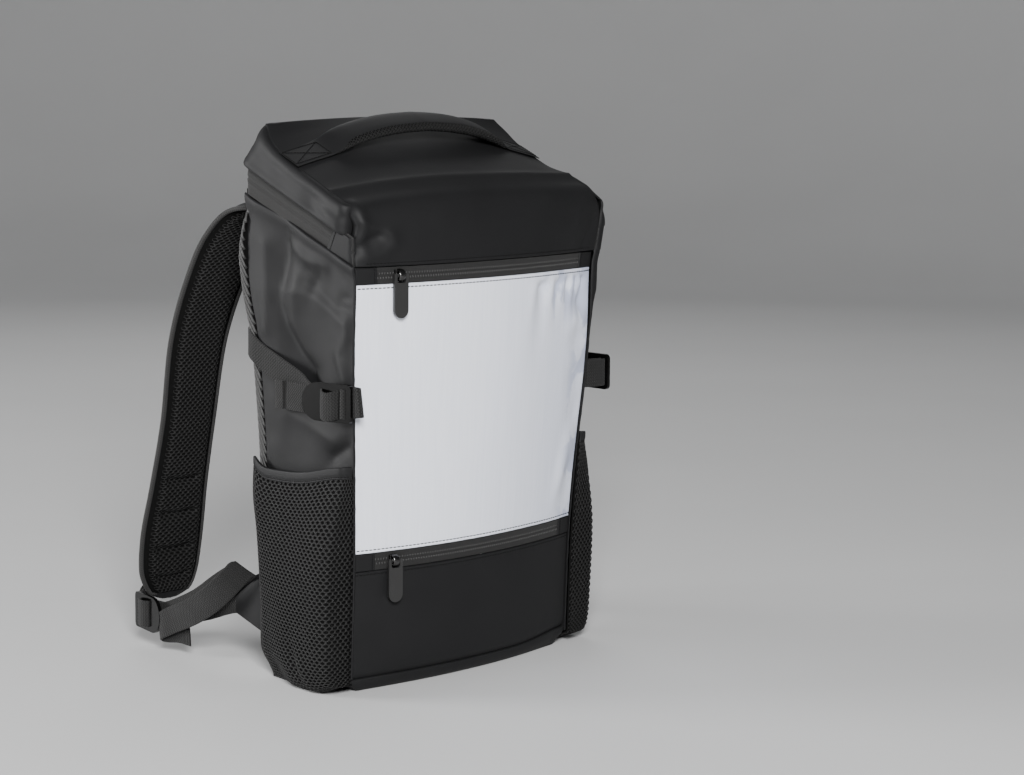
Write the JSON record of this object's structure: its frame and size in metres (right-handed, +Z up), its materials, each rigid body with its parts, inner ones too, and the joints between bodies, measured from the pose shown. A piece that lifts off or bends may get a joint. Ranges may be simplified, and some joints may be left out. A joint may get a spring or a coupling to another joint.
{
  "type": "laptop backpack",
  "caption": "Upright laptop backpack of coated cloth with a pale front panel, zipped lid, mesh side pockets, padded shoulder straps, side straps and a carrying handle.",
  "frame": {"origin": "middle of the underside, on the floor", "axes": "+Z up, -Y out of the front, +Y towards the wearer's back, +X to the right of a viewer who looks at the front"},
  "size_m": [0.3435, 0.3202, 0.4814],
  "materials": {
    "coated_cloth": "matte coated cloth",
    "reflective_cloth": "silvery woven cloth",
    "zip_tape": "woven tape with coil teeth",
    "mesh": "open knitted mesh",
    "air_mesh": "padded spacer mesh",
    "webbing": "ribbed woven webbing",
    "plastic": "satin moulded plastic",
    "pull_tab": "satin soft plastic",
    "zip_metal": "dark plated metal"
  },
  "bodies": {
    "bag": {"front_lower_panel": "coated_cloth", "top_panel": "coated_cloth", "lid_band": "coated_cloth", "bottom_panel": "coated_cloth", "handle": "coated_cloth", "side_panel_left": "coated_cloth", "side_panel_right": "coated_cloth", "strap_tab_left": "coated_cloth", "strap_tab_right": "coated_cloth", "front_zip_lower_end_left": "coated_cloth", "front_zip_lower_end_right": "coated_cloth", "front_zip_upper_end_left": "coated_cloth", "front_zip_upper_end_right": "coated_cloth", "main_zip_end_left": "coated_cloth", "main_zip_end_right": "coated_cloth", "reflective_panel": "reflective_cloth", "front_zip_lower": "zip_tape", "front_zip_upper": "zip_tape", "main_zip": "zip_tape", "mesh_pocket_left": "mesh", "mesh_pocket_right": "mesh", "back_panel": "air_mesh", "shoulder_strap_left": "air_mesh", "shoulder_strap_right": "air_mesh", "pocket_binding_left": "webbing", "pocket_binding_right": "webbing", "compression_strap_left": "webbing", "compression_strap_right": "webbing", "compression_anchor_left": "webbing", "compression_anchor_right": "webbing", "lower_strap_left": "webbing", "lower_strap_right": "webbing", "strap_loop_left": "webbing", "strap_loop_right": "webbing", "compression_lock_left": "plastic", "compression_lock_right": "plastic", "strap_lock_left": "plastic", "strap_lock_right": "plastic", "upper_slider": "zip_metal", "lower_slider": "zip_metal", "main_zip_slider": "zip_metal"},
    "upper_puller": {"upper_ring": "zip_metal", "upper_pull": "pull_tab"},
    "lower_puller": {"lower_ring": "zip_metal", "lower_pull": "pull_tab"}
  },
  "joints": [
    {"name": "upper_puller_flip", "type": "hinge", "parent": "bag", "child": "upper_puller", "pos_m": [-0.10563, -0.08428, 0.351], "axis": [-0.9846, 0.1751, 0], "range_deg": [0, 150]},
    {"name": "lower_puller_flip", "type": "hinge", "parent": "bag", "child": "lower_puller", "pos_m": [-0.09868, -0.0709, 0.1105], "axis": [-0.9817, 0.1902, 0], "range_deg": [0, 150]}
  ]
}
